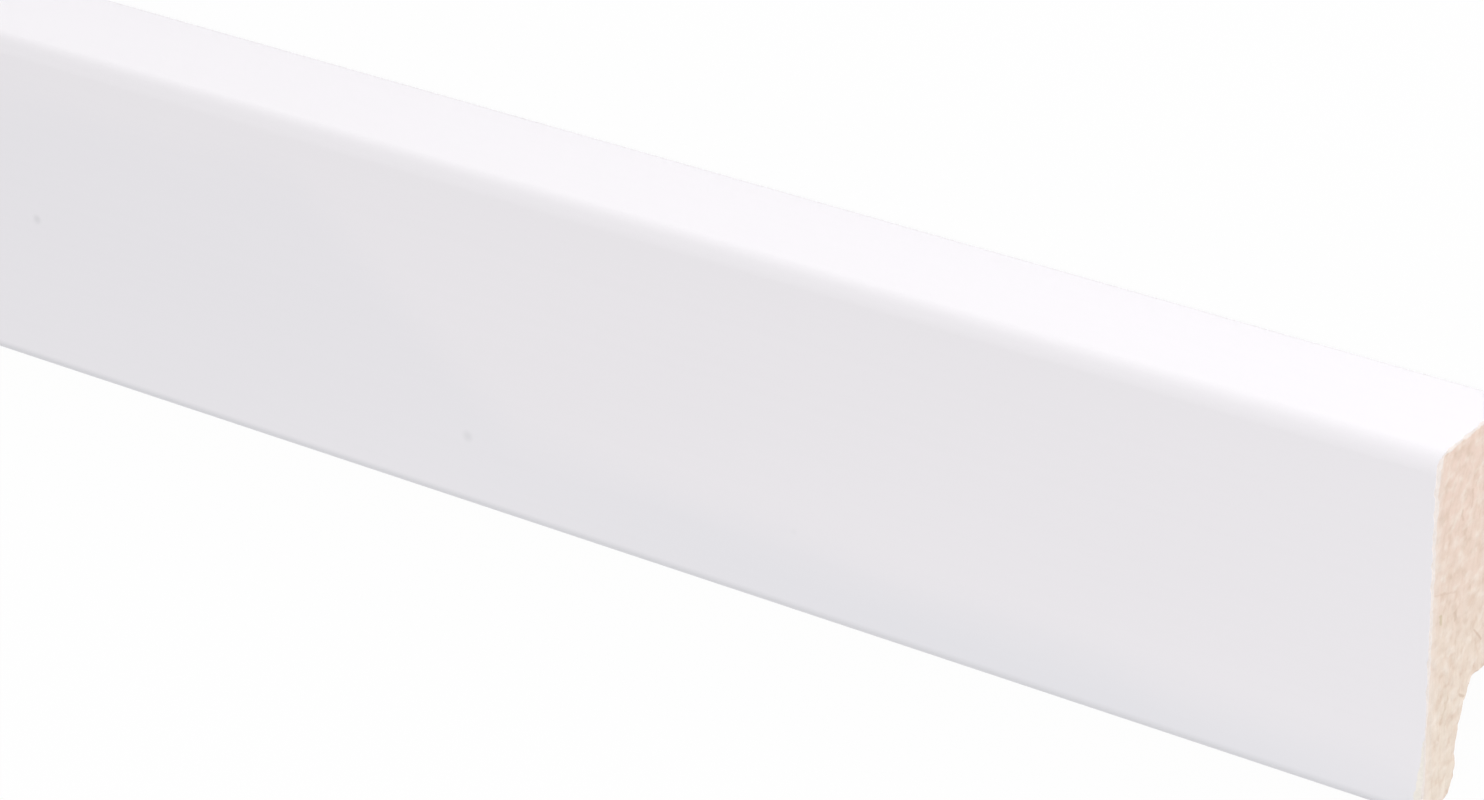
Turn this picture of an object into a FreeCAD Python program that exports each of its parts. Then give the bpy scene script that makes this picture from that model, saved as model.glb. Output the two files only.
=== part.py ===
import FreeCAD, Part

import math
import os

# Skirting board length: one stick of softwood moulding with a white coating, sold by the length.
# The room face is flat and its top edge is rounded. The top falls slightly from the wall to the room.
# The lower back is rebated, so that cables and fixing clips fit between the foot and the wall.
# The stick lies on its wall face, as it is stored: +X runs along it, +Y from the floor edge to the
# top edge and +Z out of the room face. The origin is the middle of its box, on the wall plane.

# Overall sizes, in millimetres.
stock_length = 2400.0
overall_height = 60.0
overall_depth = 22.0

# Top: how steeply it falls towards the room, in degrees, and the radii of its two edges.
top_slope = 2.2
room_edge_radius = 3.0
wall_edge_radius = 0.8

# Foot: its thickness at the lip, its eased front edge and its round back edge.
foot_thickness = 9.4
front_edge_radius = 1.0
heel_radius = 4.5

# Rebate behind the foot. The waist is the thinnest part of the foot, and the lip below it keeps a
# clip from slipping down. From the waist the foot thickens to the shoulder in two flanks.
rebate_height = 18.0
lip_height = 5.8
lip_radius = 3.0
waist_rise = 2.0
waist_relief = 0.35
waist_radius = 6.0
lower_flank_spread = 1.35
flank_radius = 18.0
upper_flank_spread = 2.8
root_radius = 0.8
shoulder_radius = 0.5


def section_point(depth, height):
    """A point of the section, from its depth behind the room face and its height above the floor edge."""
    return FreeCAD.Vector(0, height - overall_height / 2, overall_depth - depth)


def top_corners():
    """The two sharp corners of the top. The rounded wall edge then reaches exactly the overall height."""
    slope = math.radians(top_slope)
    lost_to_rounding = wall_edge_radius * (math.tan(slope) + 1 / math.cos(slope) - 1)
    wall_height = overall_height + lost_to_rounding
    room_height = wall_height - overall_depth * math.tan(slope)
    return section_point(0, room_height), section_point(overall_depth, wall_height)


def section_corners():
    """The sharp corners of the section in order, each with the radius that rounds it."""
    room_top, wall_top = top_corners()
    waist_depth = foot_thickness - waist_relief
    waist_height = lip_height + waist_rise
    flank_depth = waist_depth + lower_flank_spread
    flank_height = (waist_height + rebate_height) / 2
    root_depth = flank_depth + upper_flank_spread
    return [
        (section_point(0, 0), front_edge_radius),
        (room_top, room_edge_radius),
        (wall_top, wall_edge_radius),
        (section_point(overall_depth, rebate_height), shoulder_radius),
        (section_point(root_depth, rebate_height), root_radius),
        (section_point(flank_depth, flank_height), flank_radius),
        (section_point(waist_depth, waist_height), waist_radius),
        (section_point(foot_thickness, lip_height), lip_radius),
        (section_point(foot_thickness, 0), heel_radius),
    ]


def half_turn(before, corner, after):
    """Half of the angle through which the outline turns at a corner."""
    return (corner - before).getAngle(after - corner) / 2


def rounding_reaches(points, radii):
    """How far each rounding reaches along its two sides, drawn in where two would meet on one side."""
    count = len(points)
    wanted = []
    for index in range(count):
        turn = half_turn(points[index - 1], points[index], points[(index + 1) % count])
        wanted.append(radii[index] * math.tan(turn))
    reaches = []
    for index in range(count):
        share = 1.0
        for neighbour in (index - 1, (index + 1) % count):
            side = points[index].distanceToPoint(points[neighbour])
            share = min(share, side / (wanted[index] + wanted[neighbour]))
        reaches.append(wanted[index] * share)
    return reaches


def corner_arc(before, corner, after, reach):
    """The arc that leaves one side of a corner and joins the other, tangent to both."""
    start = corner + (before - corner).normalize() * reach
    end = corner + (after - corner).normalize() * reach
    turn = half_turn(before, corner, after)
    towards_chord = ((start + end) / 2 - corner).normalize()
    middle = corner + towards_chord * (reach * math.tan(turn / 2))
    return Part.Arc(start, middle, end).toShape()


def rounded_outline(corners):
    """Closed wire of straight sides and tangent arcs, through corners given with their radii."""
    points = [point for point, radius in corners]
    radii = [radius for point, radius in corners]
    arcs = []
    for index, reach in enumerate(rounding_reaches(points, radii)):
        after = points[(index + 1) % len(points)]
        arcs.append(corner_arc(points[index - 1], points[index], after, reach))
    edges = []
    for index, arc in enumerate(arcs):
        side_start = arcs[index - 1].lastVertex().Point
        side_end = arc.firstVertex().Point
        if side_start.distanceToPoint(side_end) > Part.Precision.confusion():
            edges.append(Part.LineSegment(side_start, side_end).toShape())
        edges.append(arc)
    return Part.Wire(edges)


def skirting_board():
    """The whole stick: its section at one end, drawn out along the length."""
    section = Part.Face(rounded_outline(section_corners()))
    section.translate(FreeCAD.Vector(-stock_length / 2, 0, 0))
    return section.extrude(FreeCAD.Vector(stock_length, 0, 0))


os.makedirs("parts", exist_ok=True)
stick = skirting_board()
stick.exportStep("parts/skirting_board.step")
box = stick.BoundBox
print("size", round(box.XLength, 3), round(box.YLength, 3), round(box.ZLength, 3))
print("valid", stick.isValid(), "solids", len(stick.Solids), "volume", round(stick.Volume))
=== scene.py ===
"""Looks of the skirting board length: the coated softwood stick and the plain white studio round it.

The stick lies on its wall face along X. Its floor edge is towards -Y, its top edge towards +Y and its
room face looks up. All sizes are in metres, and MM turns millimetres into them.
"""

import logging
import math
from collections.abc import Callable, Mapping
from dataclasses import dataclass, field
from enum import Enum
from typing import Any, Optional

import bmesh
import bpy
from mathutils import Matrix, Vector, kdtree, noise


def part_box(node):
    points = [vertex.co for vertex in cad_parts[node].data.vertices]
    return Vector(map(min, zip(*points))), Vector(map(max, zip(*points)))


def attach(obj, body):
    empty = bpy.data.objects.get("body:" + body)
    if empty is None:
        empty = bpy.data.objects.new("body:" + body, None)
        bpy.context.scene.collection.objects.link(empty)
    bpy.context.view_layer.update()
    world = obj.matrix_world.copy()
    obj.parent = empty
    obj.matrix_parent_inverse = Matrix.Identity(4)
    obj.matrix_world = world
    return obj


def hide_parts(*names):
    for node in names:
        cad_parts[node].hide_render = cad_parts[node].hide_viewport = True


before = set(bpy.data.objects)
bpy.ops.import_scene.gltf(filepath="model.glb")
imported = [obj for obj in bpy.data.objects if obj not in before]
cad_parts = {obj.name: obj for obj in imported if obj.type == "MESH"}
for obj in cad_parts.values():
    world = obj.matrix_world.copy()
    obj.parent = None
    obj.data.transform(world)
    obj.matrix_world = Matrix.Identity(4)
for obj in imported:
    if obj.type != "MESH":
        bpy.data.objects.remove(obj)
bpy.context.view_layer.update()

MM = 0.001
CAD_NODE = "skirting_board"
COVER = "cover"
COATED, PRIMED, BARE = 1.0, 0.5, 0.0
Triple = tuple[float, float, float]
WHITE: Triple = (1.0, 1.0, 1.0)
log = logging.getLogger("skirting_board_length")


class End(Enum):
    """The two sawn ends of the stick, each with its side along X."""

    RIGHT = 1
    LEFT = -1


class Finish(Enum):
    """The finishes of the stick, in the order of its material slots."""

    LONG_FACES = 0
    SAWN_ENDS = 1


class Side(Enum):
    """The sides of the section that a point of its outline can lie on."""

    ROOM_FACE = "room face"
    TOP = "top"
    FLOOR_EDGE = "floor edge"
    BACK = "back"


def soft_step(value: float, low: float, high: float) -> float:
    """A step from 0 at one value to 1 at another, with soft corners.

    Args:
        value: the number to judge.
        low: where the step starts.
        high: where the step ends.

    Returns:
        The height of the step at the value.
    """
    share = min(max((value - low) / (high - low), 0.0), 1.0)
    return share * share * (3 - 2 * share)


def wander(first: float, second: float = 0.5, third: float = 0.5) -> float:
    """Smooth noise from about -1 to 1 at a place given by up to three numbers."""
    return noise.noise(Vector((first, second, third)))


def hold_alone(piece: bpy.types.Object) -> None:
    """Makes one object the active one, and selects nothing else.

    Args:
        piece: the object.
    """
    bpy.ops.object.select_all(action="DESELECT")
    piece.select_set(True)
    bpy.context.view_layer.objects.active = piece


class Bench:
    """One mesh in edit mode: its parts are chosen in code and shaped by Blender's operators.

    Points closer than TOUCH are taken as one. A face looks along an axis when the part of its normal on that
    axis is over FACING.
    """

    TOUCH = 1e-6
    FACING = 0.9

    def __init__(self, piece: bpy.types.Object) -> None:
        """Keeps the piece that will be worked on."""
        self.piece = piece

    def __enter__(self) -> "Bench":
        """Opens edit mode on the piece alone.

        Returns:
            The bench itself.
        """
        hold_alone(self.piece)
        bpy.ops.object.mode_set(mode="EDIT")
        return self

    def __exit__(self, *problem: object) -> None:
        """Goes back to object mode."""
        bpy.ops.object.mode_set(mode="OBJECT")

    def choose(self, kind: str, wanted: Callable[[Any], bool]) -> None:
        """Selects the vertices, edges or faces that a test accepts, and nothing else.

        Args:
            kind: VERT, EDGE or FACE.
            wanted: the test, given each visible part in turn.
        """
        bpy.ops.mesh.select_mode(type=kind)
        bpy.ops.mesh.select_all(action="DESELECT")
        mesh = bmesh.from_edit_mesh(self.piece.data)
        parts = {"VERT": mesh.verts, "EDGE": mesh.edges, "FACE": mesh.faces}[kind]
        for part in [part for part in parts if not part.hide and wanted(part)]:
            part.select_set(True)
        bmesh.update_edit_mesh(self.piece.data)

    def cut(self, place: Vector, across: Vector) -> None:
        """Cuts all that shows with a plane through a point, and keeps both sides."""
        bpy.ops.mesh.select_all(action="SELECT")
        self.cut_chosen(place, across)

    def cut_chosen(self, place: Vector, across: Vector) -> None:
        """Cuts what is selected with a plane through a point, and keeps both sides."""
        bpy.ops.mesh.bisect(plane_co=place, plane_no=across, threshold=self.TOUCH)

    def extrude(self, offset: Vector) -> None:
        """Extrudes the selected faces by an offset."""
        bpy.ops.mesh.extrude_region_move(TRANSFORM_OT_translate={"value": offset})

    def move(self, offset: Vector) -> None:
        """Moves what is selected by an offset."""
        bpy.ops.transform.translate(value=offset)


@dataclass(frozen=True)
class Corner:
    """A sharp corner of the section, with the radius and the facets that round it."""

    depth: float
    height: float
    radius: float
    facets: int


@dataclass(frozen=True)
class Section:
    """The stick's section. Depth is measured behind the room face and height above the floor edge."""

    overall_height: float = 60.0 * MM
    overall_depth: float = 22.0 * MM
    top_slope: float = math.radians(2.2)
    room_edge_radius: float = 3.0 * MM
    wall_edge_radius: float = 0.8 * MM
    foot_thickness: float = 9.4 * MM
    front_edge_radius: float = 1.0 * MM
    heel_radius: float = 4.5 * MM
    rebate_height: float = 18.0 * MM
    lip_height: float = 5.8 * MM
    lip_radius: float = 3.0 * MM
    waist_rise: float = 2.0 * MM
    waist_relief: float = 0.35 * MM
    waist_radius: float = 6.0 * MM
    lower_flank_spread: float = 1.35 * MM
    flank_radius: float = 18.0 * MM
    upper_flank_spread: float = 2.8 * MM
    root_radius: float = 0.8 * MM
    shoulder_radius: float = 0.5 * MM

    def top_heights(self) -> tuple[float, float]:
        """The heights of the sharp top corners.

        Returns:
            The height on the room side and the height on the wall side.
        """
        rounding = self.wall_edge_radius * (math.tan(self.top_slope) + 1 / math.cos(self.top_slope) - 1)
        wall = self.overall_height + rounding
        return wall - self.overall_depth * math.tan(self.top_slope), wall

    def foot_steps(self) -> list[Corner]:
        """The corners of the foot's back.

        Returns:
            The corners, from the shoulder's root down to the heel.
        """
        waist = self.foot_thickness - self.waist_relief
        waist_height = self.lip_height + self.waist_rise
        flank = waist + self.lower_flank_spread
        flank_height = (waist_height + self.rebate_height) / 2
        root = flank + self.upper_flank_spread
        return [
            Corner(root, self.rebate_height, self.root_radius, 6),
            Corner(flank, flank_height, self.flank_radius, 6),
            Corner(waist, waist_height, self.waist_radius, 6),
            Corner(self.foot_thickness, self.lip_height, self.lip_radius, 4),
            Corner(self.foot_thickness, 0.0, self.heel_radius, 18),
        ]

    def corners(self) -> list[Corner]:
        """All the corners of the section.

        Returns:
            The corners in order, starting at the floor edge of the room face.
        """
        room_top, wall_top = self.top_heights()
        return [
            Corner(0.0, 0.0, self.front_edge_radius, 8),
            Corner(0.0, room_top, self.room_edge_radius, 20),
            Corner(self.overall_depth, wall_top, self.wall_edge_radius, 8),
            Corner(self.overall_depth, self.rebate_height, self.shoulder_radius, 6),
            *self.foot_steps(),
        ]

    def point(self, depth: float, height: float, along: float = 0.0) -> Vector:
        """The point at a depth and a height, at a place along the stick."""
        return Vector((along, height - self.overall_height / 2, self.overall_depth - depth))

    def depth_and_height(self, point: Vector) -> tuple[float, float]:
        """The depth and the height of a point."""
        return self.overall_depth - point.z, point.y + self.overall_height / 2

    def reach(self, index: int) -> float:
        """How far the rounding of one corner reaches along its two sides.

        Args:
            index: the corner's place in the list of corners.

        Returns:
            The reach.
        """
        corners = self.corners()
        trio = [corners[index - 1], corners[index], corners[(index + 1) % len(corners)]]
        before, here, after = (self.point(corner.depth, corner.height) for corner in trio)
        return corners[index].radius * math.tan((here - before).angle(after - here) / 2)

    def side(self, point: Vector) -> Side:
        """The side of the section that a point of its outline lies on.

        Args:
            point: the point.

        Returns:
            The side.
        """
        depth, height = self.depth_and_height(point)
        lowest_top = self.overall_height - 2 * MM
        if height > lowest_top and depth > self.room_edge_radius:
            return Side.TOP if depth < self.overall_depth - self.wall_edge_radius / 2 else Side.BACK
        if height < self.front_edge_radius / 2 and depth > self.front_edge_radius:
            return Side.FLOOR_EDGE if depth < self.foot_thickness - self.heel_radius else Side.BACK
        return Side.ROOM_FACE if depth < self.room_edge_radius + 0.03 * MM else Side.BACK


@dataclass(frozen=True)
class Relief:
    """A random relief: how deep its pits are, and how large its lumps are along X, Y and Z.

    More contrast gathers it into separate pits, and a higher level leaves fewer of them.
    """

    name: str
    depth: float
    grain: Triple
    contrast: float = 1.0
    level: float = 1.0

    def texture(self) -> bpy.types.Texture:
        """The relief as a texture.

        Returns:
            The texture, which is 1 where the surface stays and 0 where it is deepest.
        """
        texture = bpy.data.textures.new(self.name, "CLOUDS")
        texture.use_clamp = True
        texture.noise_scale = 1.0
        texture.noise_depth = 1
        texture.contrast = self.contrast
        texture.intensity = self.level
        return texture

    def guide_frame(self, along: float) -> Matrix:
        """Where the texture lies, which is the same all along the stick."""
        return Matrix.LocRotScale(None, None, Vector(self.grain))


@dataclass(frozen=True)
class GrowthRings:
    """The growth rings, round a pith line that runs along the stick on its wall side."""

    name: str = "growth_rings"
    pith: tuple[float, float] = (-12.0 * MM, -78.0 * MM)
    spacing: float = 2.1 * MM
    depth: float = 0.07 * MM
    drift: float = 9 * MM
    waver: float = 0.55

    def texture(self) -> bpy.types.Texture:
        """The rings as a texture.

        Returns:
            The texture, which climbs through each ring and drops after it.
        """
        texture = bpy.data.textures.new(self.name, "WOOD")
        texture.use_clamp = True
        texture.wood_type = "RINGNOISE"
        texture.noise_basis_2 = "SAW"
        texture.turbulence = 1.2
        texture.noise_scale = 1.5
        return texture

    def guide_frame(self, along: float) -> Matrix:
        """Puts the texture's middle on the pith.

        Args:
            along: the place along the stick.

        Returns:
            The frame that the texture is laid in.
        """
        texture_period = math.tau / 20
        scale = self.spacing / texture_period
        return Matrix.LocRotScale(Vector((along, *self.pith)), None, Vector((scale, scale, scale)))

    def climb(self, nodes: "Nodes") -> "Signal":
        """How far each point is through its ring, for a material.

        Args:
            nodes: the material's node tree.

        Returns:
            A number from 0 at the ring's inner side to 1 at its outer side.
        """
        _, across, up = nodes.axes()
        drift = (nodes.noise((450 * MM, 60 * MM, 60 * MM), 1.0, 4.0) - 0.5) * self.drift
        across = across - self.pith[0] + drift
        up = up - self.pith[1] + drift * 0.6
        radius = (across * across + up * up).math("SQRT")
        waver = (nodes.noise((60 * MM, 5 * MM, 5 * MM), 2.0, 2.0) - 0.5) * self.waver
        return (radius / self.spacing + waver).math("FRACT")


class Press:
    """Sinks points of a piece by Displace modifiers, each applied at once."""

    def __init__(self, piece: bpy.types.Object) -> None:
        """Keeps the piece that is pressed."""
        self.piece = piece

    def sink(
        self,
        axis: str,
        depth: float,
        shares: Mapping[int, float],
        relief: Optional[Relief | GrowthRings] = None,
        along: float = 0.0,
    ) -> None:
        """Moves points against an axis, each by its share of a depth and of a relief.

        Args:
            axis: X, Y or Z.
            depth: the most that a point sinks. A negative depth moves it along the axis.
            shares: each point's share, from 0 to 1.
            relief: the relief that takes its part of each share. Without one, all of it counts.
            along: the place along the stick that the relief is laid at.
        """
        group = self.piece.vertex_groups.new(name="pressed")
        for point, share in shares.items():
            group.add([point], share, "REPLACE")
        press = self.piece.modifiers.new("press", "DISPLACE")
        press.direction = axis
        press.strength = depth
        press.vertex_group = group.name
        guide = bpy.data.objects.new("guide", None)
        if relief is None:
            press.mid_level = 2.0
        else:
            guide.matrix_world = relief.guide_frame(along)
            bpy.context.scene.collection.objects.link(guide)
            bpy.context.view_layer.update()
            press.mid_level = 1.0
            press.texture = relief.texture()
            press.texture_coords = "OBJECT"
            press.texture_coords_object = guide
        hold_alone(self.piece)
        bpy.ops.object.modifier_apply(modifier=press.name)
        bpy.data.objects.remove(guide)
        self.piece.vertex_groups.remove(self.piece.vertex_groups["pressed"])


@dataclass(frozen=True)
class Flake:
    """A flake of the top coat gone from the room face, in the corner of a sawn end and the floor edge.

    Its border has notches of about one size, and its raggedness says how far they reach.
    """

    end: End
    height: float
    length: float
    notch: float = 1.7 * MM
    raggedness: float = 0.25
    border: tuple[float, float] = (0.75, 1.25)

    def share(self, section: Section, point: Vector, from_end: float) -> float:
        """How much of the top coat is gone at a point.

        Args:
            section: the stick's section.
            point: the point.
            from_end: how far it is from the sawn end.

        Returns:
            From 0, where the coat is whole, to 1.
        """
        depth, height = section.depth_and_height(point)
        if depth > section.front_edge_radius:
            return 0.0
        ragged = self.raggedness * wander(height / self.notch, self.height / MM)
        up = (max(height, 0.0) / self.height) ** 3
        return 1 - soft_step(up + from_end / self.length + ragged, *self.border)


@dataclass(frozen=True)
class SawCut:
    """How a saw leaves one end: the coating's broken rim, torn fibres, score marks and growth rings.

    On the room face the rim is narrow by the foot and widens up to the top, mostly in two steps. Along the
    top and the floor edge it has one width.
    """

    strip: float = 3.0 * MM
    strip_lines: tuple[float, ...] = (0.4 * MM, 0.8 * MM, 1.15 * MM, 1.5 * MM, 1.9 * MM, 2.4 * MM)
    rim_insets: tuple[float, ...] = (0.15 * MM, 0.2 * MM)
    cell_height: float = 0.36 * MM
    cell_depth: float = 0.22 * MM
    front_rim: float = 0.15 * MM
    top_rim: float = 0.36 * MM
    least_rim: float = 0.06 * MM
    rim_step: float = 0.3 * MM
    rim_growth: float = 0.01
    lower_step: tuple[float, float] = (12 * MM, 21 * MM)
    upper_step: tuple[float, float] = (47 * MM, 54 * MM)
    rim_lump: float = 2.6 * MM
    rim_crumb: float = 0.9 * MM
    rim_sink: float = 0.16 * MM
    least_slope: float = 0.25 * MM
    arris: float = 0.5 * MM
    flake_depth: float = 0.12 * MM
    score_marks: Relief = Relief("score_marks", 0.10 * MM, (20 * MM, 12 * MM, 5 * MM))
    torn_fibres: Relief = Relief("torn_fibres", 0.14 * MM, (20 * MM, 2.0 * MM, 1.5 * MM), 2.2, 1.25)
    arris_chips: Relief = Relief("arris_chips", 0.30 * MM, (20 * MM, 1.6 * MM, 1.6 * MM), 2.6, 1.3)

    def rim_width(self, section: Section, point: Vector) -> float:
        """How far the coating's broken edge reaches over the end.

        Args:
            section: the stick's section.
            point: a point of the end's outline.

        Returns:
            The width of the rim next to the point.
        """
        side = section.side(point)
        depth, height = section.depth_and_height(point)
        if side is Side.BACK:
            return 0.0
        width = self.top_rim
        if side is Side.ROOM_FACE:
            low, high = soft_step(height, *self.lower_step), soft_step(height, *self.upper_step)
            growth = self.rim_growth * max(height - self.lower_step[1], 0.0)
            front = self.front_rim + self.rim_step * low + growth + self.rim_step * high
            width = front + (self.top_rim - front) * soft_step(depth, 0.0, section.room_edge_radius)
        lumps = wander(height / self.rim_lump, depth / self.rim_lump, point.x / MM)
        crumbs = wander(height / self.rim_crumb, depth / self.rim_crumb, point.x / MM + 7)
        return max(width * (1 + 0.6 * lumps + 0.35 * crumbs), self.least_rim)

    def rim_cover(self, width: float, away: float) -> float:
        """The coating's cover on the sawn face, where its broken edge lets the primer show.

        Args:
            width: the width of the rim there.
            away: how far the point is from the end's outline.

        Returns:
            The cover at the point.
        """
        shown = 1 - soft_step(away, width - 0.1 * MM, width + 0.5 * MM)
        return PRIMED * shown * min(width / self.least_rim, 1.0)


@dataclass(frozen=True)
class Dent:
    """A shallow dull dent in the coating of the room face, placed from the right end.

    The patch that is divided for it reaches this many radii from its middle.
    """

    from_end: float
    height: float
    radius: float
    depth: float
    dullness: float
    patch: float = 1.8
    patch_cuts: int = 11


@dataclass
class CoatedBoard:
    """The stick: one closed mesh with its coated faces, its planed back and its two sawn ends."""

    length: float
    section: Section = field(default_factory=Section)
    bay: float = 100 * MM
    cut: SawCut = field(default_factory=SawCut)
    rings: GrowthRings = field(default_factory=GrowthRings)
    coat_wrap: float = 1.5 * MM
    foot_wrap: tuple[float, float] = (5.5 * MM, 8.0 * MM)
    flakes: tuple[Flake, ...] = (
        Flake(End.RIGHT, 12.9 * MM, 1.4 * MM),
        Flake(End.LEFT, 3.5 * MM, 0.8 * MM),
    )
    dents: tuple[Dent, ...] = (
        Dent(271.0 * MM, 27.25 * MM, 1.15 * MM, 0.05 * MM, 0.9),
        Dent(178.2 * MM, 12.4 * MM, 1.35 * MM, 0.03 * MM, 0.7),
        Dent(113.0 * MM, 14.2 * MM, 0.8 * MM, 0.02 * MM, 0.2),
    )

    def build(self) -> bpy.types.Object:
        """Models the whole stick.

        Returns:
            The finished object, at the origin, with its place in its mesh.
        """
        piece = self.block()
        self.draw_down_foot(piece)
        self.round_corners(piece)
        self.divide_length(piece)
        for dent in self.dents:
            self.press_dent(piece, dent)
        self.coat(piece)
        for end in End:
            self.divide_end(piece, end)
            self.break_end(piece, end)
        self.smooth(piece)
        self.mark_finishes(piece)
        return piece

    def block(self) -> bpy.types.Object:
        """Makes the part above the shoulder, as a block whose top falls towards the room.

        Returns:
            The block.
        """
        section = self.section
        room_top, wall_top = section.top_heights()
        shoulder = section.rebate_height
        bpy.ops.object.select_all(action="DESELECT")
        bpy.ops.mesh.primitive_cube_add(
            size=1,
            location=section.point(section.overall_depth / 2, (wall_top + shoulder) / 2),
            scale=(self.length, wall_top - shoulder, section.overall_depth),
        )
        bpy.ops.object.transform_apply(location=True, rotation=True, scale=True)
        piece = bpy.context.object
        piece.name = piece.data.name = "coated_softwood_board"
        room_edge = section.point(0, wall_top)
        with Bench(piece) as bench:
            bench.choose("EDGE", lambda edge: self.runs_through(edge, room_edge))
            bench.move(Vector((0, room_top - wall_top, 0)))
        return piece

    def draw_down_foot(self, piece: bpy.types.Object) -> None:
        """Draws the foot down from the shoulder, step by step, and sets its back edge each time.

        Args:
            piece: the block above the shoulder.
        """
        steps = self.section.foot_steps()
        root = self.section.point(steps[0].depth, steps[0].height)
        with Bench(piece) as bench:
            bench.choose("FACE", lambda face: face.normal.y < -bench.FACING)
            bench.cut_chosen(root, Vector((0, 0, 1)))
            for above, step in zip(steps, steps[1:]):
                level = self.section.point(above.depth, above.height)
                bench.choose("FACE", lambda face: self.looks_down_from(face, level))
                bench.extrude(Vector((0, step.height - above.height, 0)))
                back_edge = self.section.point(above.depth, step.height)
                bench.choose("EDGE", lambda edge: self.runs_through(edge, back_edge))
                bench.move(Vector((0, 0, above.depth - step.depth)))
            bpy.ops.mesh.select_all(action="SELECT")
            bpy.ops.mesh.dissolve_limited(angle_limit=math.radians(0.5))

    def round_corners(self, piece: bpy.types.Object) -> None:
        """Rounds each long corner with its own radius.

        Args:
            piece: the stick with sharp corners.
        """
        with Bench(piece) as bench:
            for index, corner in enumerate(self.section.corners()):
                place = self.section.point(corner.depth, corner.height)
                bench.choose("EDGE", lambda edge: self.runs_through(edge, place))
                bpy.ops.mesh.bevel(
                    offset=self.section.reach(index),
                    offset_type="OFFSET",
                    segments=corner.facets,
                    profile=0.5,
                    affect="EDGES",
                    clamp_overlap=False,
                )

    def divide_length(self, piece: bpy.types.Object) -> None:
        """Cuts the long faces into bays, and the back where the coating ends.

        Args:
            piece: the stick.
        """
        section = self.section
        bays = round(self.length / self.bay)
        places = [self.length * (bay / bays - 0.5) for bay in range(1, bays)]
        from_end = (*self.cut.strip_lines, self.cut.strip)
        for end in End:
            places += [end.value * (self.length / 2 - line) for line in from_end]
        with Bench(piece) as bench:
            for place in sorted(places):
                bench.cut(Vector((place, 0, 0)), Vector((1, 0, 0)))
            bench.choose("FACE", lambda face: face.normal.z < -bench.FACING)
            bench.cut_chosen(section.point(section.overall_depth, self.coat_end()), Vector((0, 1, 0)))

    def coat_end(self) -> float:
        """The height on the back at which the coating has run out."""
        return self.section.overall_height - self.section.wall_edge_radius - self.coat_wrap

    def press_dent(self, piece: bpy.types.Object, dent: Dent) -> None:
        """Presses one dent into the room face, in a small patch that is divided for it.

        Args:
            piece: the stick.
            dent: the dent.
        """
        middle = self.dent_place(dent)
        half = dent.radius * dent.patch
        with Bench(piece) as bench:
            for axis in (Vector((1, 0, 0)), Vector((0, 1, 0))):
                for side in (-half, half):
                    bench.choose("FACE", lambda face: self.holds(face, middle))
                    bench.cut_chosen(middle + axis * side, axis)
            bench.choose("FACE", lambda face: self.holds(face, middle))
            bpy.ops.mesh.subdivide(number_cuts=dent.patch_cuts)
        shares = {}
        for vertex in piece.data.vertices:
            away = (vertex.co - middle).length
            if away < dent.radius:
                shares[vertex.index] = 1 - soft_step(away, 0.0, dent.radius)
        Press(piece).sink("Z", dent.depth, shares)

    def dent_place(self, dent: Dent) -> Vector:
        """The middle of a dent, on the room face."""
        return self.section.point(0.0, dent.height, self.length / 2 - dent.from_end)

    def coat(self, piece: bpy.types.Object) -> None:
        """Stores the coating's cover at each point: coated in front and on top, bare behind.

        Args:
            piece: the stick.
        """
        section = self.section
        back = section.overall_depth - Bench.TOUCH
        cover = piece.data.attributes.new(COVER, "FLOAT", "POINT")
        values = []
        for vertex in piece.data.vertices:
            depth, height = section.depth_and_height(vertex.co)
            if height > section.rebate_height + section.shoulder_radius:
                bare = depth > back and height < self.coat_end() + Bench.TOUCH
                values.append(BARE if bare else COATED)
            else:
                values.append(COATED - soft_step(depth, *self.foot_wrap))
        cover.data.foreach_set("value", values)

    def divide_end(self, piece: bpy.types.Object, end: End) -> None:
        """Insets rim lines on one end, and cuts the end and its strip into fine cells.

        Args:
            piece: the stick.
            end: the end to work on.
        """
        section = self.section
        limit = self.length / 2 - self.cut.strip
        with Bench(piece) as bench:
            bench.choose("FACE", lambda face: face.normal.x * end.value > bench.FACING)
            for inset in self.cut.rim_insets:
                bpy.ops.mesh.inset(thickness=inset, use_even_offset=True)
            bench.choose("FACE", lambda face: face.calc_center_median().x * end.value > limit)
            bpy.ops.mesh.hide(unselected=True)
            for place in self.steps(section.overall_height, self.cut.cell_height):
                bench.cut(section.point(0, place), Vector((0, 1, 0)))
            for place in self.steps(section.overall_depth, self.cut.cell_depth):
                bench.cut(section.point(place, 0), Vector((0, 0, 1)))
            bpy.ops.mesh.reveal(select=False)

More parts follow.
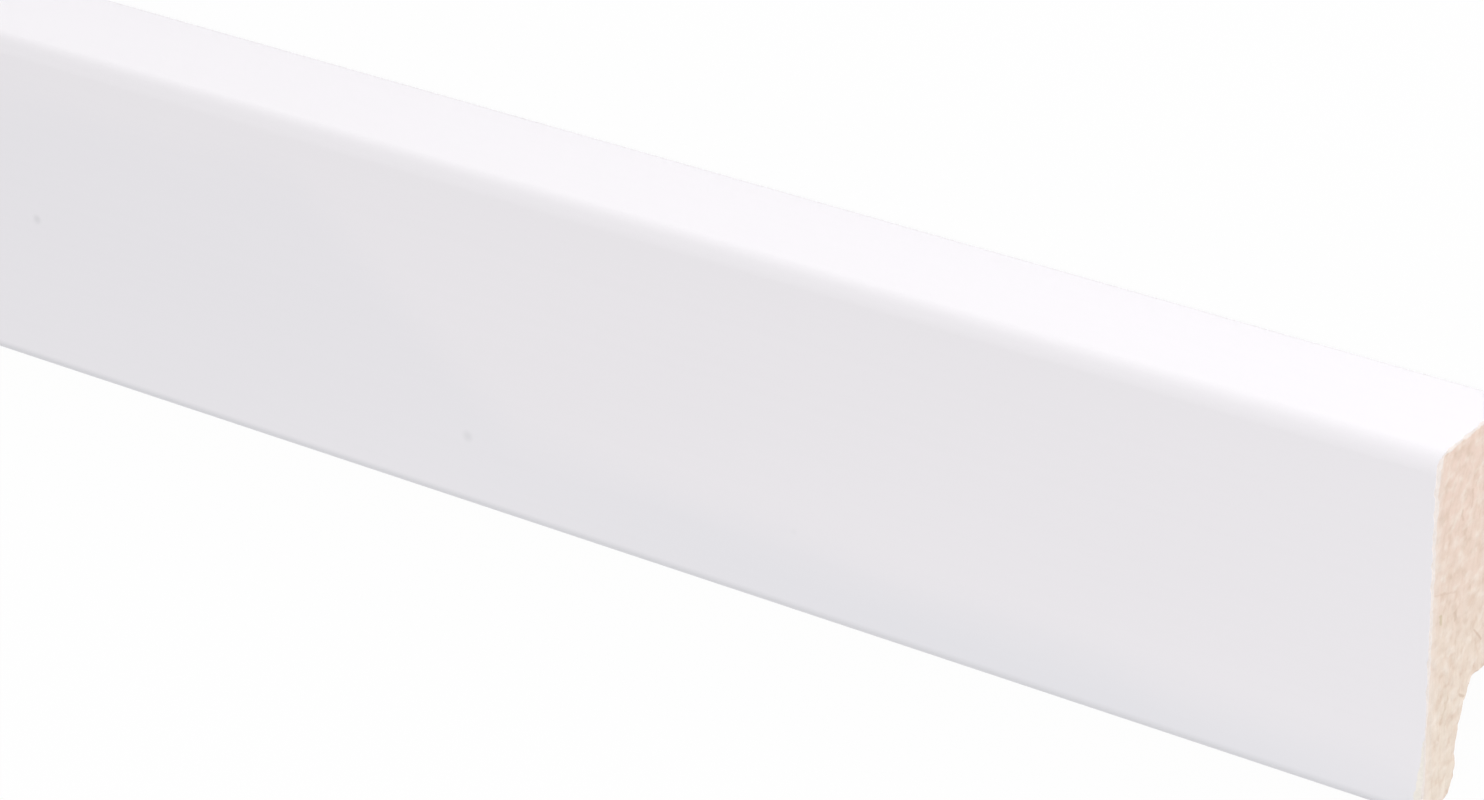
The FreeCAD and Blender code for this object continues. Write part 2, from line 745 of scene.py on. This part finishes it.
    def break_end(self, piece: bpy.types.Object, end: End) -> None:
        """Gives one end the relief of sawn wood under a broken rim of coating.

        Args:
            piece: the stick.
            end: the end to work on.
        """
        cut = self.cut
        outline = self.outline(piece, end)
        rim, chips, wood, flaked = {}, {}, {}, {}
        cover = piece.data.attributes[COVER].data
        for vertex in piece.data.vertices:
            from_end = self.length / 2 - vertex.co.x * end.value
            if from_end > cut.strip - Bench.TOUCH:
                continue
            index = vertex.index
            flaked[index] = self.flaked(end, vertex.co, from_end)
            if from_end > Bench.TOUCH:
                rim[index] = chips[index] = max(0.0, 1 - from_end / cut.strip_lines[1])
            else:
                nearest, _, away = outline.find(vertex.co)
                width = cut.rim_width(self.section, nearest)
                if away > Bench.TOUCH:
                    cover[index].value = cut.rim_cover(width, away)
                rim[index] = max(0.0, 1 - away / max(width, cut.least_slope))
                chips[index] = max(0.0, 1 - away / cut.arris)
                wood[index] = soft_step(away, 0.0, cut.arris)
            top_coat = max(cover[index].value - PRIMED, 0.0)
            cover[index].value -= min(flaked[index] * (COATED - PRIMED), top_coat)
        press = Press(piece)
        press.sink("X", end.value * cut.rim_sink, rim)
        press.sink("X", end.value * cut.arris_chips.depth, chips, cut.arris_chips)
        press.sink("X", end.value * self.rings.depth, wood, self.rings, end.value * self.length / 2)
        for relief in (cut.score_marks, cut.torn_fibres):
            press.sink("X", end.value * relief.depth, wood, relief)
        press.sink("Z", cut.flake_depth, flaked)

    def outline(self, piece: bpy.types.Object, end: End) -> kdtree.KDTree:
        """Finds the points of one end's outline.

        Args:
            piece: the stick.
            end: the end.

        Returns:
            The points, ready to be searched for the nearest.
        """
        on_end, on_long_face = set(), set()
        for polygon in piece.data.polygons:
            if polygon.center.x * end.value > self.length / 2 - self.cut.strip:
                faces_out = polygon.normal.x * end.value > Bench.FACING
                (on_end if faces_out else on_long_face).update(polygon.vertices)
        points = sorted(on_end & on_long_face)
        tree = kdtree.KDTree(len(points))
        for index in points:
            tree.insert(piece.data.vertices[index].co, index)
        tree.balance()
        return tree

    def flaked(self, end: End, point: Vector, from_end: float) -> float:
        """How much of the top coat is gone at a point near one end."""
        shares = [flake.share(self.section, point, from_end) for flake in self.flakes if flake.end is end]
        return max(shares, default=0.0)

    def mark_finishes(self, piece: bpy.types.Object) -> None:
        """Gives each face the slot of its finish.

        Args:
            piece: the stick.
        """
        for polygon in piece.data.polygons:
            at_end = abs(polygon.center.x) > self.length / 2 - self.cut.strip_lines[1]
            faces_along = abs(polygon.normal.x) > 0.5
            finish = Finish.SAWN_ENDS if at_end and faces_along else Finish.LONG_FACES
            polygon.material_index = finish.value

    def smooth(self, piece: bpy.types.Object) -> None:
        """Shades the roundings smooth and keeps the flats flat.

        Args:
            piece: the stick.
        """
        hold_alone(piece)
        bpy.ops.object.shade_smooth_by_angle(angle=math.radians(50))
        weighted = piece.modifiers.new("flat_faces", "WEIGHTED_NORMAL")
        weighted.keep_sharp = True
        bpy.ops.object.modifier_apply(modifier=weighted.name)

    @staticmethod
    def steps(size: float, cell: float) -> list[float]:
        """Places of the cuts that divide a size into equal cells of about a given size."""
        count = round(size / cell)
        return [size * step / count for step in range(1, count)]

    @staticmethod
    def holds(face: bmesh.types.BMFace, point: Vector) -> bool:
        """Whether a face of the room side reaches over a point along X and Y.

        Args:
            face: the face.
            point: the point.

        Returns:
            True where it does.
        """
        along = [vertex.co.x for vertex in face.verts]
        across = [vertex.co.y for vertex in face.verts]
        faces_up = face.normal.z > 0.99
        return faces_up and min(along) < point.x < max(along) and min(across) < point.y < max(across)

    @staticmethod
    def runs_through(edge: bmesh.types.BMEdge, place: Vector) -> bool:
        """Whether an edge runs along the stick through a point of the section."""
        return all((vertex.co - place).yz.length < 2 * Bench.TOUCH for vertex in edge.verts)

    @staticmethod
    def looks_down_from(face: bmesh.types.BMFace, level: Vector) -> bool:
        """Whether a face looks to the floor edge, on one level with a point and on its room side.

        Args:
            face: the face.
            level: the point.

        Returns:
            True where it does.
        """
        centre = face.calc_center_median()
        on_level = abs(centre.y - level.y) < 10 * Bench.TOUCH
        return on_level and face.normal.y < -Bench.FACING and centre.z > level.z


class Signal:
    """A number that changes over a surface, as a node's output. Arithmetic on it adds Math nodes."""

    def __init__(self, nodes: "Nodes", socket: bpy.types.NodeSocket) -> None:
        """Keeps the node tree and the output that carries the number."""
        self.nodes = nodes
        self.socket = socket

    def math(self, operation: str, *others: Any) -> "Signal":
        """A Math node on this number and others.

        Args:
            operation: the node's operation.
            others: further numbers or signals, in the node's order.

        Returns:
            The result as a signal.
        """
        inputs = dict(enumerate((self, *others)))
        node = self.nodes.make("ShaderNodeMath", {"operation": operation}, inputs)
        return Signal(self.nodes, node.outputs[0])

    def __add__(self, other: Any) -> "Signal":
        """This number plus another."""
        return self.math("ADD", other)

    __radd__ = __add__

    def __mul__(self, other: Any) -> "Signal":
        """This number times another."""
        return self.math("MULTIPLY", other)

    __rmul__ = __mul__

    def __sub__(self, other: Any) -> "Signal":
        """This number less another."""
        return self.math("SUBTRACT", other)

    def __rsub__(self, other: Any) -> "Signal":
        """Another number less this one."""
        return self.math("MULTIPLY_ADD", -1.0, other)

    def __truediv__(self, other: Any) -> "Signal":
        """This number divided by another."""
        return self.math("DIVIDE", other)

    def __neg__(self) -> "Signal":
        """This number with its sign turned."""
        return self * -1.0

    def above(self, low: float, high: float) -> "Signal":
        """A soft step on this number.

        Args:
            low: the value up to which the step is 0.
            high: the value from which it is 1.

        Returns:
            The step.
        """
        inputs = {"Value": self, "From Min": low, "From Max": high}
        node = self.nodes.make("ShaderNodeMapRange", {"interpolation_type": "SMOOTHSTEP"}, inputs)
        return Signal(self.nodes, node.outputs["Result"])


class Nodes:
    """One node tree, and the few ways in which it is filled."""

    def __init__(self, tree: bpy.types.NodeTree) -> None:
        """Keeps the tree and empties it."""
        self.tree = tree
        self.tree.nodes.clear()

    def make(self, kind: str, settings: Mapping[str, Any], inputs: Mapping[Any, Any]) -> bpy.types.Node:
        """Adds one node.

        Args:
            kind: the node's type.
            settings: its own settings, set before its sockets.
            inputs: a number, colour, signal or output for each named or numbered socket.

        Returns:
            The new node.
        """
        node = self.tree.nodes.new(kind)
        for name, value in settings.items():
            setattr(node, name, value)
        for name, value in inputs.items():
            self.feed(node.inputs[name], value)
        return node

    def feed(self, socket: bpy.types.NodeSocket, value: Any) -> None:
        """Links an output to a socket, or sets the socket's own value.

        Args:
            socket: the input to feed.
            value: a signal, an output, a number or a colour.
        """
        if isinstance(value, Signal):
            value = value.socket
        if isinstance(value, bpy.types.NodeSocket):
            self.tree.links.new(value, socket)
        elif socket.type == "RGBA":
            socket.default_value = (*value[:3], 1.0)
        else:
            socket.default_value = value

    def place(self) -> bpy.types.NodeSocket:
        """The point of the surface in the object's own frame."""
        return self.make("ShaderNodeTexCoord", {}, {}).outputs["Object"]

    def axes(self) -> tuple[Signal, Signal, Signal]:
        """The coordinates of that point.

        Returns:
            The place along the stick, across it and up from its wall face.
        """
        split = self.make("ShaderNodeSeparateXYZ", {}, {"Vector": self.place()})
        along, across, up = (Signal(self, socket) for socket in split.outputs)
        return along, across, up

    def attribute(self, name: str) -> Signal:
        """A number that the mesh keeps at its points."""
        return Signal(self, self.make("ShaderNodeAttribute", {"attribute_name": name}, {}).outputs["Fac"])

    def noise(self, grain: Triple, detail: float = 2.0, shift: float = 0.0) -> Signal:
        """Soft noise from 0 to 1.

        Args:
            grain: the size of its patches along X, Y and Z.
            detail: how many finer layers it has.
            shift: how far the pattern is moved, so that two noises differ.

        Returns:
            The noise.
        """
        scale = tuple(1 / size for size in grain)
        inputs = {"Vector": self.place(), "Location": (shift, shift, shift), "Scale": scale}
        mapping = self.make("ShaderNodeMapping", {}, inputs)
        inputs = {"Vector": mapping.outputs[0], "Scale": 1.0, "Detail": detail}
        return Signal(self, self.make("ShaderNodeTexNoise", {}, inputs).outputs["Fac"])

    def mix(self, share: Any, first: Any, second: Any, blend: str = "MIX") -> bpy.types.NodeSocket:
        """Mixes two colours.

        Args:
            share: how much of the second colour shows.
            first: the first colour.
            second: the second colour.
            blend: the way in which the second colour acts on the first.

        Returns:
            The mixed colour.
        """
        settings = {"data_type": "RGBA", "blend_type": blend}
        return self.make("ShaderNodeMix", settings, {0: share, 6: first, 7: second}).outputs[2]

    def blend(self, share: Signal, first: Any, second: Any) -> Signal:
        """Blends two numbers, from the first at 0 to the second at 1."""
        return share * second + (1 - share) * first


@dataclass(frozen=True)
class Look:
    """What a finish gives to the shader: its colour, its roughness and its fine relief in millimetres."""

    colour: Any
    roughness: Any
    relief: Any


class SurfaceNodes(Nodes):
    """The node tree of one material."""

    def __init__(self, name: str) -> None:
        """Makes the material with its shader and its output.

        Args:
            name: the material's name.
        """
        self.material = bpy.data.materials.new(name)
        self.material.use_nodes = True
        super().__init__(self.material.node_tree)
        self.shader = self.make("ShaderNodeBsdfPrincipled", {}, {})
        self.output = self.make("ShaderNodeOutputMaterial", {}, {"Surface": self.shader.outputs["BSDF"]})

    def layer(self, under: Look, over: Look, cover: Signal) -> Look:
        """Lays one look over another.

        Args:
            under: the look below.
            over: the look on top.
            cover: how much of the top one shows.

        Returns:
            The two as one look.
        """
        return Look(
            self.mix(cover, under.colour, over.colour),
            self.blend(cover, under.roughness, over.roughness),
            self.blend(cover, under.relief, over.relief),
        )

    def wear(self, look: Look) -> bpy.types.Material:
        """Feeds a look to the shader.

        Args:
            look: the look.

        Returns:
            The material.
        """
        self.feed(self.shader.inputs["Base Color"], look.colour)
        self.feed(self.shader.inputs["Roughness"], look.roughness)
        bump = self.make("ShaderNodeBump", {}, {"Height": look.relief, "Distance": MM})
        self.feed(self.shader.inputs["Normal"], bump.outputs["Normal"])
        return self.material


def toned(colour: Triple, tone: float) -> Triple:
    """A colour times a tone, no part of it over 1."""
    red, green, blue = (min(part * tone, 1.0) for part in colour)
    return red, green, blue


@dataclass(frozen=True)
class PaintedFaceShade:
    """Painted shade on the room face: a darker, bluer band along the floor edge, under a soft line.

    The line starts low at the right end, rises slowly to the band's full height, and further on climbs over
    the face. The painted shade is strongest in the band by the right end.
    """

    start_height: float = 5.2 * MM
    slope: float = 0.065
    most_rise: float = 13 * MM
    climb_from: float = 168 * MM
    climb_slope: float = 0.7
    most_height: float = 50 * MM
    waver: float = 5 * MM
    edge: tuple[float, float] = (-8 * MM, 6 * MM)
    weaker: tuple[float, float] = (60 * MM, 200 * MM)
    weaker_by: float = 0.6

    def strength(self, nodes: SurfaceNodes, board: CoatedBoard) -> Signal:
        """How strongly the painted shade darkens each point.

        Args:
            nodes: the material's node tree.
            board: the stick.

        Returns:
            A number from 0, where no shade is painted, to 1.
        """
        along, across, _ = nodes.axes()
        height = across + board.section.overall_height / 2
        from_end = board.length / 2 - along
        line = (from_end * self.slope).math("MINIMUM", self.most_rise) + self.start_height
        climb = ((from_end - self.climb_from) * self.climb_slope).math("MAXIMUM", 0.0)
        line = (line + climb).math("MINIMUM", self.most_height)
        line = line + (nodes.noise((30 * MM, 12 * MM, 12 * MM), 1.0, 6.0) - 0.5) * self.waver
        share = 1 - from_end.above(*self.weaker) * self.weaker_by
        return (1 - (height - line).above(*self.edge)) * share


@dataclass(frozen=True)
class WhiteCoating:
    """The satin white coating: faint streaks along the stick, a fine orange peel, a few dull dents, and
    painted shade low on the room face and over its rounded floor edge.
    """

    colour: Triple = (0.854, 0.832, 0.862)
    # the colour of the painted shade low on the room face
    face_shade_colour: Triple = (0.797, 0.791, 0.829)
    # the colour of the painted shade on the rounded floor edge
    floor_edge_shade_colour: Triple = (0.695, 0.690, 0.722)
    dent_colour: Triple = (0.52, 0.52, 0.54)
    roughness: float = 0.45
    streak_tone: float = 0.992
    painted_face_shade: PaintedFaceShade = PaintedFaceShade()
    floor_edge_shade_band: tuple[float, float] = (0.7 * MM, 1.9 * MM)
    dent_edge: tuple[float, float] = (0.1, 1.1)
    dent_share: float = 0.35

    def look(self, nodes: SurfaceNodes, board: CoatedBoard) -> Look:
        """The coating's look on one stick.

        Args:
            nodes: the material's node tree.
            board: the stick.

        Returns:
            The look.
        """
        streaks = nodes.noise((400 * MM, 1.3 * MM, 1.3 * MM), 3.0)
        peel = nodes.noise((1.8 * MM, 0.9 * MM, 0.9 * MM), 1.0, 3.0)
        cloud = nodes.noise((90 * MM, 25 * MM, 25 * MM), 1.0, 7.0)
        tone = streaks * 0.5 + cloud * 0.5
        # painted shade: the coating is coloured darker and bluer low on the room face, standing in for less
        # light there
        colour = nodes.mix(self.painted_face_shade.strength(nodes, board), self.colour, self.face_shade_colour)
        # painted shade: the coating is coloured greyer over the rounded floor edge, which faces away from
        # the light
        colour = nodes.mix(self.floor_edge_shade(nodes, board), colour, self.floor_edge_shade_colour)
        shade = nodes.mix(tone.above(0.3, 0.7), toned(WHITE, self.streak_tone), WHITE)
        colour = nodes.mix(1.0, colour, shade, "MULTIPLY")
        for dent in board.dents:
            colour = nodes.mix(self.dull(nodes, board.dent_place(dent), dent), colour, self.dent_colour)
        roughness = (peel - 0.5) * 0.08 + (streaks - 0.5) * 0.06 + self.roughness
        return Look(colour, roughness, streaks * 0.004 + peel * 0.003)

    def floor_edge_shade(self, nodes: SurfaceNodes, board: CoatedBoard) -> Signal:
        """Painted shade on the rounded floor edge, which turns away from the light: the coating is coloured
        greyer there.
        """
        _, across, _ = nodes.axes()
        return 1 - (across + board.section.overall_height / 2).above(*self.floor_edge_shade_band)

    def dull(self, nodes: SurfaceNodes, middle: Vector, dent: Dent) -> Signal:
        """How far the coating is dulled in and round one dent.

        Args:
            nodes: the material's node tree.
            middle: the dent's middle.
            dent: the dent.

        Returns:
            A number that is 0 away from the dent.
        """
        along, across, up = nodes.axes()
        along, across, up = along - middle.x, across - middle.y, up - middle.z
        away = (along * along + across * across + up * up).math("SQRT") / dent.radius
        return (1 - away.above(*self.dent_edge)) * (self.dent_share * dent.dullness)


@dataclass(frozen=True)
class Primer:
    """The cream primer that shows where the top coat has broken away."""

    colour: Triple
    roughness: float = 0.65
    spread: float = 0.03

    def look(self, nodes: SurfaceNodes) -> Look:
        """The primer's look.

        Args:
            nodes: the material's node tree.

        Returns:
            The look.
        """
        crumbs = nodes.noise((0.6 * MM, 0.6 * MM, 0.6 * MM), 2.0, 11.0)
        darker, lighter = (toned(self.colour, 1 + side * self.spread) for side in (-1, 1))
        return Look(nodes.mix(crumbs.above(0.35, 0.65), darker, lighter), self.roughness, crumbs * 0.03)


@dataclass(frozen=True)
class PlanedSoftwood:
    """Bare planed softwood of the back, with the growth rings that the ends show."""

    early: Triple = (0.80, 0.655, 0.52)
    late: Triple = (0.66, 0.475, 0.32)
    roughness: float = 0.62

    def look(self, nodes: SurfaceNodes, board: CoatedBoard) -> Look:
        """The planed wood's look on one stick.

        Args:
            nodes: the material's node tree.
            board: the stick.

        Returns:
            The look.
        """
        climb = board.rings.climb(nodes)
        fibres = nodes.noise((60 * MM, 0.5 * MM, 0.5 * MM), 3.0, 5.0)
        late = climb.above(0.35, 0.95) * 0.75 + (fibres - 0.5) * 0.5
        colour = nodes.mix(late.above(0.0, 1.0), self.early, self.late)
        return Look(colour, self.roughness + (fibres - 0.5) * 0.1, fibres * 0.012 + late * 0.01)


@dataclass(frozen=True)
class SawnMark:
    """A short dark mark in the right end, such as a resin canal or a torn strip of fibres.

    Its start and stop are given by depth and height.
    """

    start: tuple[float, float]
    stop: tuple[float, float]
    half_width: float
    colour: Triple
    strength: float
    ripple: float = 0.8 * MM
    edge: tuple[float, float] = (0.3, 1.3)

    def shade(self, nodes: SurfaceNodes, section: Section) -> Signal:
        """How strongly the mark shows at each point.

        Args:
            nodes: the material's node tree.
            section: the stick's section.

        Returns:
            A number that is 0 away from the mark and at the left end.
        """
        along, across, up = nodes.axes()
        first, last = section.point(*self.start), section.point(*self.stop)
        run = last - first
        ripple = (nodes.noise((20 * MM, 0.9 * MM, 0.9 * MM), 1.0, 2.0) - 0.5) * self.ripple
        across, up = across - first.y + ripple, up - first.z + ripple
        share = (across * run.y + up * run.z) / run.length_squared
        share = share.math("MINIMUM", 1.0).math("MAXIMUM", 0.0)
        across, up = across - share * run.y, up - share * run.z
        away = (across * across + up * up).math("SQRT") / self.half_width
        at_right_end = along.above(0.0, 1.0 * MM)
        return (1 - away.above(*self.edge)) * at_right_end * self.strength


@dataclass(frozen=True)
class SawnSoftwood:
    """End grain of pale softwood as a saw leaves it: rings, torn flecks, soft blotches and painted shade in
    its pits.
    """

    wood: Triple = (0.812, 0.675, 0.578)
    rosy: Triple = (0.818, 0.638, 0.550)
    sappy: Triple = (0.826, 0.722, 0.618)
    fleck: Triple = (0.690, 0.535, 0.432)
    fuzz: Triple = (0.90, 0.805, 0.722)
    dusted: Triple = (0.85, 0.76, 0.70)
    # the colour of the painted shade where the sawn face is sunk deepest
    shade: Triple = (0.66, 0.50, 0.39)
    roughness: float = 0.85
    marks: tuple[SawnMark, ...] = (
        SawnMark((3.1 * MM, 32.4 * MM), (3.3 * MM, 31.2 * MM), 0.40 * MM, (0.60, 0.50, 0.34), 0.7),
        SawnMark((7.4 * MM, 31.3 * MM), (7.6 * MM, 29.9 * MM), 0.50 * MM, (0.62, 0.48, 0.38), 0.6),
        SawnMark((8.2 * MM, 47.4 * MM), (8.4 * MM, 46.0 * MM), 0.35 * MM, (0.64, 0.48, 0.38), 0.5),
        SawnMark((11.1 * MM, 49.6 * MM), (10.9 * MM, 47.0 * MM), 0.35 * MM, (0.64, 0.48, 0.38), 0.45),
        SawnMark((13.5 * MM, 25.5 * MM), (15.6 * MM, 23.2 * MM), 0.22 * MM, (0.62, 0.46, 0.36), 0.6),
        SawnMark((6.3 * MM, 17.6 * MM), (4.5 * MM, 14.0 * MM), 0.35 * MM, (0.64, 0.50, 0.38), 0.4),
        SawnMark((9.9 * MM, 16.4 * MM), (11.1 * MM, 15.6 * MM), 0.28 * MM, (0.58, 0.44, 0.34), 0.6),
        SawnMark((1.2 * MM, 36.6 * MM), (7.4 * MM, 34.6 * MM), 0.22 * MM, (0.68, 0.52, 0.42), 0.4),
    )

    def look(self, nodes: SurfaceNodes, board: CoatedBoard) -> Look:
        """The sawn wood's look on one stick.

        Args:
            nodes: the material's node tree.
            board: the stick.

        Returns:
            The look.
        """
        along, across, up = nodes.axes()
        sunk = (board.length / 2 - along.math("ABSOLUTE")) / MM
        depth = board.section.overall_depth - up
        climb = board.rings.climb(nodes)
        dark = nodes.noise((20 * MM, 2.2 * MM, 2.3 * MM), 2.0, 1.0)
        light = nodes.noise((20 * MM, 2.0 * MM, 2.5 * MM), 2.0, 9.0)
        blotch = nodes.noise((20 * MM, 9 * MM, 5 * MM), 2.0, 5.0)
        fibres = nodes.noise((20 * MM, 0.35 * MM, 0.25 * MM), 2.0, 6.0)
        low = (blotch - 0.5) * (30 * MM) - across
        colour = nodes.mix(low.above(-8 * MM, 28 * MM), self.wood, self.sappy)
        colour = nodes.mix((-low).above(-4 * MM, 24 * MM) * 0.8, colour, self.rosy)
        colour = nodes.mix(climb.above(0.5, 1.0) * 0.2, colour, self.fleck)
        colour = nodes.mix(dark.above(0.42, 0.85), colour, self.fleck)
        colour = nodes.mix(light.above(0.42, 0.85) * 0.9, colour, self.fuzz)
        # painted shade: the end is coloured darker where its surface is sunk deeper, in its pits and along
        # its broken rim
        colour = nodes.mix(sunk.above(0.12, 0.36) * 0.3, colour, self.shade)
        colour = nodes.mix((1 - depth.above(0.2 * MM, 3.4 * MM)) * 0.5, colour, self.dusted)
        for mark in self.marks:
            colour = nodes.mix(mark.shade(nodes, board.section), colour, mark.colour)
        return Look(colour, self.roughness, fibres * 0.03 + light * 0.06 - dark * 0.06)


@dataclass(frozen=True)
class BoardFinish:
    """The two materials of the stick: its long faces and its sawn ends, each wood under primer and coat."""

    coating: WhiteCoating = WhiteCoating()
    bared_primer: Primer = Primer((0.89, 0.838, 0.77))
    torn_primer: Primer = Primer((0.857, 0.784, 0.745))
    planed: PlanedSoftwood = PlanedSoftwood()
    sawn: SawnSoftwood = SawnSoftwood()

    def dress(self, piece: bpy.types.Object, board: CoatedBoard) -> None:
        """Fills the material slots of the stick, in the order of its finishes.

        Args:
            piece: the stick's object.
            board: the stick's sizes.
        """
        for finish in Finish:
            nodes = SurfaceNodes(finish.name.lower())
            long_face = finish is Finish.LONG_FACES
            wood = self.planed if long_face else self.sawn
            primer = self.bared_primer if long_face else self.torn_primer
            ragged = (nodes.noise((0.7 * MM, 0.7 * MM, 0.7 * MM), 2.0, 8.0) - 0.5) * 0.4
            cover = nodes.attribute(COVER) + ragged
            look = nodes.layer(wood.look(nodes, board), primer.look(nodes), cover.above(0.08, 0.45))
            look = nodes.layer(look, self.coating.look(nodes, board), cover.above(0.6, 0.85))
            piece.data.materials.append(nodes.wear(look))


def seen_directly(nodes: Nodes) -> Signal:
    """Tells rays that show something from the light that falls on things.

    Args:
        nodes: the node tree.

    Returns:
        1 for rays from the camera, reflections and glass, and 0 for all other light.
    """
    path = nodes.make("ShaderNodeLightPath", {}, {})
    camera, glossy, glass = (
        Signal(nodes, path.outputs[f"Is {kind} Ray"]) for kind in ("Camera", "Glossy", "Transmission")
    )
    return (camera + glossy + glass).math("MINIMUM", 1.0)


@dataclass
class StudioFloor:
    """A plain white floor under the stick. It shows white and keeps a faint shadow."""

    size: float = 60.0
    colour: Triple = (0.45, 0.45, 0.45)
    shown_colour: Triple = (0.95, 0.95, 0.95)
    shadow_share: float = 0.045

    def build(self) -> bpy.types.Object:
        """Lays the floor at the height that the stick rests on.

        Returns:
            The floor.
        """
        bpy.ops.object.select_all(action="DESELECT")
        bpy.ops.mesh.primitive_plane_add(size=self.size)
        floor = bpy.context.object
        floor.name = "studio_floor"
        floor.data.materials.append(self.material())
        return floor

    def material(self) -> bpy.types.Material:
        """Makes the floor's finish.

        Returns:
            White with a faint shadow to the camera and to reflections, and matt grey to all other light.
        """
        nodes = SurfaceNodes("floor_white")
        colour = nodes.mix(seen_directly(nodes), self.colour, self.shown_colour)
        nodes.feed(nodes.shader.inputs["Base Color"], colour)
        nodes.feed(nodes.shader.inputs["Roughness"], 1.0)
        nodes.feed(nodes.shader.inputs["Specular IOR Level"], 0.0)
        white = nodes.make("ShaderNodeEmission", {}, {"Color": (1.0, 1.0, 1.0), "Strength": 1.0})
        share = seen_directly(nodes) * (1 - self.shadow_share)
        inputs = {0: share, 1: nodes.shader.outputs[0], 2: white.outputs[0]}
        nodes.feed(nodes.output.inputs["Surface"], nodes.make("ShaderNodeMixShader", {}, inputs).outputs[0])
        return nodes.material


@dataclass(frozen=True)
class SoftLamp:
    """A rectangular softbox that looks at a point."""

    name: str
    place: Triple
    target: Triple
    width: float
    height: float
    power: float

    def build(self) -> bpy.types.Object:
        """Hangs the lamp at its place.

        Returns:
            The lamp.
        """
        data = bpy.data.lights.new(self.name, "AREA")
        data.shape = "RECTANGLE"
        data.size = self.width
        data.size_y = self.height
        data.energy = self.power
        lamp = bpy.data.objects.new(self.name, data)
        bpy.context.scene.collection.objects.link(lamp)
        back = Vector(self.place) - Vector(self.target)
        lamp.location = self.place
        lamp.rotation_euler = back.to_track_quat("Z", "Y").to_euler()
        lamp.visible_camera = False
        return lamp


@dataclass
class Studio:
    """The soft light: a pale room, light panels on the floor by the top and the end, and three softboxes."""

    ambient: float = 0.7036
    lamps: tuple[SoftLamp, ...] = (
        SoftLamp("top_panel", (0.0, 0.6303, 0.0001), (0.0, 0.6303, 1.0), 3.4, 1.2, 7.15),
        SoftLamp("end_panel", (1.5005, -0.284, 0.0001), (1.5005, -0.284, 1.0), 0.6, 0.632, 0.785),
        SoftLamp("side_softbox", (1.55, 0.75, 0.26), (1.17, 0.0, 0.01), 0.5, 0.4, 2.608),
        SoftLamp("near_softbox", (1.08, -0.4, 0.42), (1.08, 0.0, 0.02), 0.3, 0.3, 0.595),
        SoftLamp("far_softbox", (-0.45, 0.0, 0.6), (-0.45, 0.0, 0.02), 1.6, 0.4, 2.5),
    )

    def build(self) -> None:
        """Sets the room's light and hangs the lamps."""
        world = bpy.data.worlds.new("pale_room")
        bpy.context.scene.world = world
        world.use_nodes = True
        nodes = Nodes(world.node_tree)
        strength = nodes.blend(seen_directly(nodes), self.ambient, 1.0)
        background = nodes.make("ShaderNodeBackground", {}, {"Color": (1.0, 1.0, 1.0), "Strength": strength})
        nodes.make("ShaderNodeOutputWorld", {}, {"Surface": background.outputs[0]})
        for lamp in self.lamps:
            log.info("%s is hung", lamp.build().name)


@dataclass(frozen=True)
class PhotoCamera:
    """The camera of the photograph: where it looks, from where, and how it is turned."""

    target: Triple = (1.077361, 0.004411, 0.022)
    distance: float = 0.883321
    azimuth: float = math.radians(129.5378)
    elevation: float = math.radians(46.0473)
    roll: float = math.radians(-121.7097)
    lens: float = 138.111

    def build(self) -> bpy.types.Object:
        """Makes the scene's camera.

        Returns:
            The camera.
        """
        data = bpy.data.cameras.new("photo_camera")
        data.lens = self.lens
        data.clip_start = 10 * MM
        camera = bpy.data.objects.new("photo_camera", data)
        bpy.context.scene.collection.objects.link(camera)
        level = math.cos(self.elevation)
        along, across = math.sin(self.azimuth) * level, -math.cos(self.azimuth) * level
        back = Vector((along, across, math.sin(self.elevation)))
        turned = back.to_track_quat("Z", "Y").to_matrix() @ Matrix.Rotation(self.roll, 3, "Z")
        place = Vector(self.target) + back * self.distance
        camera.matrix_world = Matrix.Translation(place) @ turned.to_4x4()
        bpy.context.scene.camera = camera
        return camera


def main() -> None:
    """Builds the stick and the studio."""
    logging.basicConfig(level=logging.INFO, format="%(name)s: %(message)s")
    low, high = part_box(CAD_NODE)
    board = CoatedBoard(length=high.x - low.x)
    piece = board.build()
    BoardFinish().dress(piece, board)
    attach(piece, "root")
    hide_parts(CAD_NODE)
    log.info("%s has %d faces", piece.name, len(piece.data.polygons))
    floor = StudioFloor().build()
    log.info("%s is laid", floor.name)
    Studio().build()
    camera = PhotoCamera().build()
    log.info("%s stands at %s", camera.name, tuple(round(value, 3) for value in camera.location))
    bpy.context.scene.view_settings.view_transform = "Standard"


if __name__ == "__main__":
    main()
